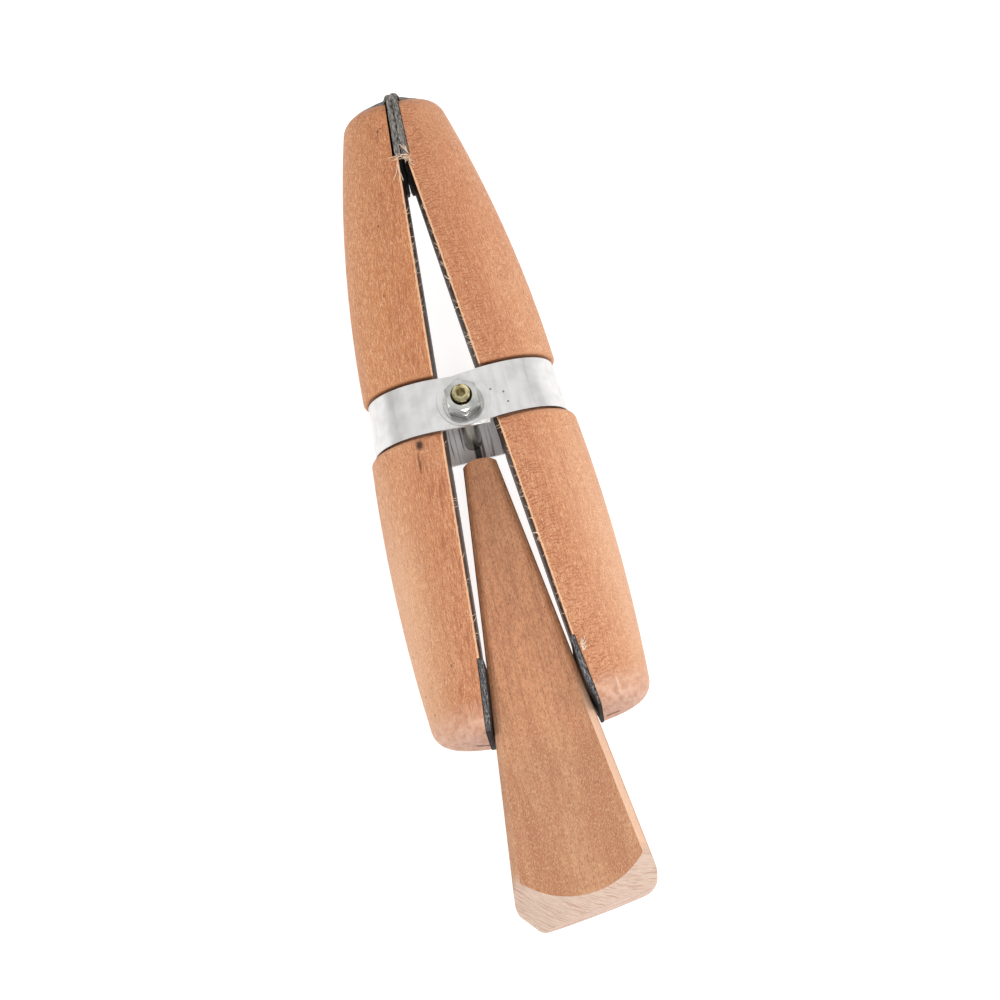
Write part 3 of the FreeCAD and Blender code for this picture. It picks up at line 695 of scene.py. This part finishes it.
def torn_fibres(side, material, stray, tufts):
    """Stray short fibres all along the arris, and fuller tufts at (y, count, length, heading, out)."""
    random.seed(7 + SIDES[side])
    bm = bmesh.new()
    strap_half = 8
    for _ in range(stray):
        y = random.uniform(-56, 48)
        if abs(y) > strap_half:
            heading = (random.uniform(-1.0, 0.2), random.uniform(-1, 1), random.uniform(-0.2, 0.5))
            add_fibre(bm, side, on_arris(y), heading, random.uniform(0.6, 1.9), 0.07, 0.8)
    for y, count, length, heading, out in tufts:
        for _ in range(count):
            root = on_arris(y + random.uniform(-0.8, 0.8), out + random.uniform(0, 0.5))
            scatter = min(0.55, 1.6 / length)
            aim = Vector(heading) + Vector([random.uniform(-scatter, scatter) for _ in range(3)])
            grown = length * random.uniform(0.6, 1.2)
            add_fibre(bm, side, root, aim, grown, random.uniform(0.11, 0.19), 1.2)
    link_piece("torn_fibres_" + side, bm, material, side + "_jaw")


def leather_fuzz(side, seam_low, seam_high, count, material):
    """Loose fibres on the cut front edge of an upper pad; some bridge the seam between the pads."""
    random.seed(41 + SIDES[side])
    bm = bmesh.new()
    for _ in range(count):
        share = random.random()
        y = blend(60.6, 75.4, share)
        x = blend(seam_low, seam_high, share) + random.uniform(-0.05, 0.85)
        root = (x, y, math.sqrt(jaw_radius(y) ** 2 - x * x) - 0.06)
        aim = (random.uniform(-0.45, 0.3), random.choice((-1, 1)), random.uniform(0.0, 0.12))
        add_fibre(bm, side, root, aim, random.uniform(0.9, 2.2), random.uniform(0.035, 0.06), 0.5)
    link_piece("leather_fuzz_" + side, bm, material, side + "_jaw")


def fuzz_grey():
    """Grey loose leather fibre."""
    shader = Shader("fuzz_grey")
    tone = shader.noise(shader.stretched(shader.place(), 2.5, 1.0, 2.5), detail=2)
    colour = shader.mix(shader.step(tone, 0.3, 0.7), srgb(70, 67, 64), srgb(206, 200, 192))
    shader.set(Base_Color=colour, Roughness=0.85)
    shader.bump(tone, 0.2, 0.0001)
    return shader.material


def fibre_wood():
    """Pale raw wood of a torn strand."""
    shader = Shader("fibre_wood")
    tone = shader.noise(shader.stretched(shader.place(), 1.5, 1.5, 1.5), detail=2)
    shader.set(Base_Color=shader.mix(tone, srgb(228, 190, 156), srgb(250, 232, 212)), Roughness=0.7)
    shader.bump(tone, 0.2, 0.0001)
    return shader.material


loose_leather = fuzz_grey()
leather_fuzz("left", seam_low=-0.76, seam_high=-0.37, count=70, material=loose_leather)
leather_fuzz("right", seam_low=-0.86, seam_high=1.22, count=90, material=loose_leather)
raw_wood = fibre_wood()
torn_fibres("left", raw_wood, 60, [
    (58.6, 4, 8.5, (0.0, -1.0, 0.15), 0.0),
    (59.8, 3, 3.0, (0.9, 0.1, 0.7), -0.4),
])
torn_fibres("right", raw_wood, 120, [
    (60.6, 5, 2.8, (-0.2, 1.0, 0.8), 0.3),
    (59.0, 26, 1.7, (0.1, -0.8, 0.8), 0.2),
    (60.0, 6, 4.2, (-1.0, -0.2, 0.9), 0.1),
    (-61.4, 34, 1.7, (0.5, 0.8, 0.4), 1.0),
    (-34.0, 3, 1.8, (-0.6, 0.6, 0.4), 0.1),
    (27.0, 3, 1.6, (-0.6, 0.4, 0.4), 0.0),
])


# ---------------------------------------------------------------- stage

FLOOR_SPAN = 20.0
LIT_SPOT = (0, 0, 0.02)
LIGHTS = [  # name, place, width, power
    ("key_light", (0.9, -0.2, 0.55), 0.6, 3.6),
    ("fill_light", (-0.9, -0.1, 0.6), 0.7, 1.5),
    ("front_light", (0.05, -0.35, 1.1), 0.32, 2.9),
    ("low_light", (0, -0.6, 0.9), 0.5, 1.4),
]
SKY_STRENGTH = 0.85
LENS = 122.4
SENSOR = 36.0
NEAR_CLIP = 0.01
CAMERA_OFFSET = Vector((-1.29, -214.65, 743.69)) * MM  # from the waist
CAMERA_RIGHT = Vector((0.96964, -0.23777, -0.05712))
CAMERA_ABOVE = Vector((0.24449, 0.93791, 0.24606))
CAMERA_BACK = Vector((-0.00493, -0.25255, 0.96757))


def plain_material(name, colour, roughness, glow):
    """Plain studio surface with a faint, uneven tone, lit a little from within like a light table."""
    shader = Shader(name)
    cloud = shader.noise(shader.stretched(shader.place(), 0.01, 0.01, 0.01), detail=2)
    dim = tuple(0.985 * value for value in colour[:3]) + (1.0,)
    shader.set(Base_Color=shader.mix(cloud, colour, dim), Roughness=roughness)
    shader.set(Emission_Color=(1.0, 1.0, 1.0, 1.0), Emission_Strength=glow)
    return shader.material


def make_floor():
    mesh = bpy.data.meshes.new("floor")
    signs = ((-1, -1), (1, -1), (1, 1), (-1, 1))
    corners = [(x * FLOOR_SPAN, y * FLOOR_SPAN, 0) for x, y in signs]
    mesh.from_pydata(corners, [], [(0, 1, 2, 3)])
    floor = bpy.data.objects.new("floor", mesh)
    bpy.context.collection.objects.link(floor)
    grey = (0.36, 0.36, 0.36, 1.0)
    mesh.materials.append(plain_material("floor_paper", grey, roughness=0.9, glow=0.82))


def area_light(name, place, width, power):
    """Round lamp aimed at the object."""
    data = bpy.data.lights.new(name, "AREA")
    data.shape = "DISK"
    data.size = width
    data.energy = power
    light = bpy.data.objects.new(name, data)
    bpy.context.collection.objects.link(light)
    light.location = place
    light.rotation_mode = "QUATERNION"
    light.rotation_quaternion = (Vector(LIT_SPOT) - Vector(place)).to_track_quat("-Z", "Y")


def make_world():
    """Soft studio surround, brightest overhead and dark near the horizon, which metals need."""
    world = bpy.data.worlds.new("studio")
    world.use_nodes = True
    nodes, links = world.node_tree.nodes, world.node_tree.links
    split = nodes.new("ShaderNodeSeparateXYZ")
    links.new(nodes.new("ShaderNodeTexCoord").outputs["Generated"], split.inputs[0])
    ramp = nodes.new("ShaderNodeValToRGB")
    stops = ramp.color_ramp.elements
    for place in (0.2, 0.42):
        stops.new(place)
    for stop, level in zip(stops, (0.4, 0.5, 0.85, 1.0)):
        stop.color = (level, level, level, 1.0)
    links.new(split.outputs["Z"], ramp.inputs[0])
    background = nodes["Background"]
    links.new(ramp.outputs[0], background.inputs["Color"])
    background.inputs["Strength"].default_value = SKY_STRENGTH
    bpy.context.scene.world = world


def make_studio():
    make_floor()
    for light in LIGHTS:
        area_light(*light)
    make_world()
    bpy.context.scene.view_settings.view_transform = "Standard"


def make_camera():
    data = bpy.data.cameras.new("camera")
    data.lens = LENS
    data.sensor_width = SENSOR
    data.clip_start = NEAR_CLIP
    camera = bpy.data.objects.new("camera", data)
    bpy.context.collection.objects.link(camera)
    turn = Matrix((CAMERA_RIGHT, CAMERA_ABOVE, CAMERA_BACK)).transposed().to_4x4()
    camera.matrix_world = Matrix.Translation(WAIST + CAMERA_OFFSET) @ turn
    bpy.context.scene.camera = camera


make_studio()
make_camera()
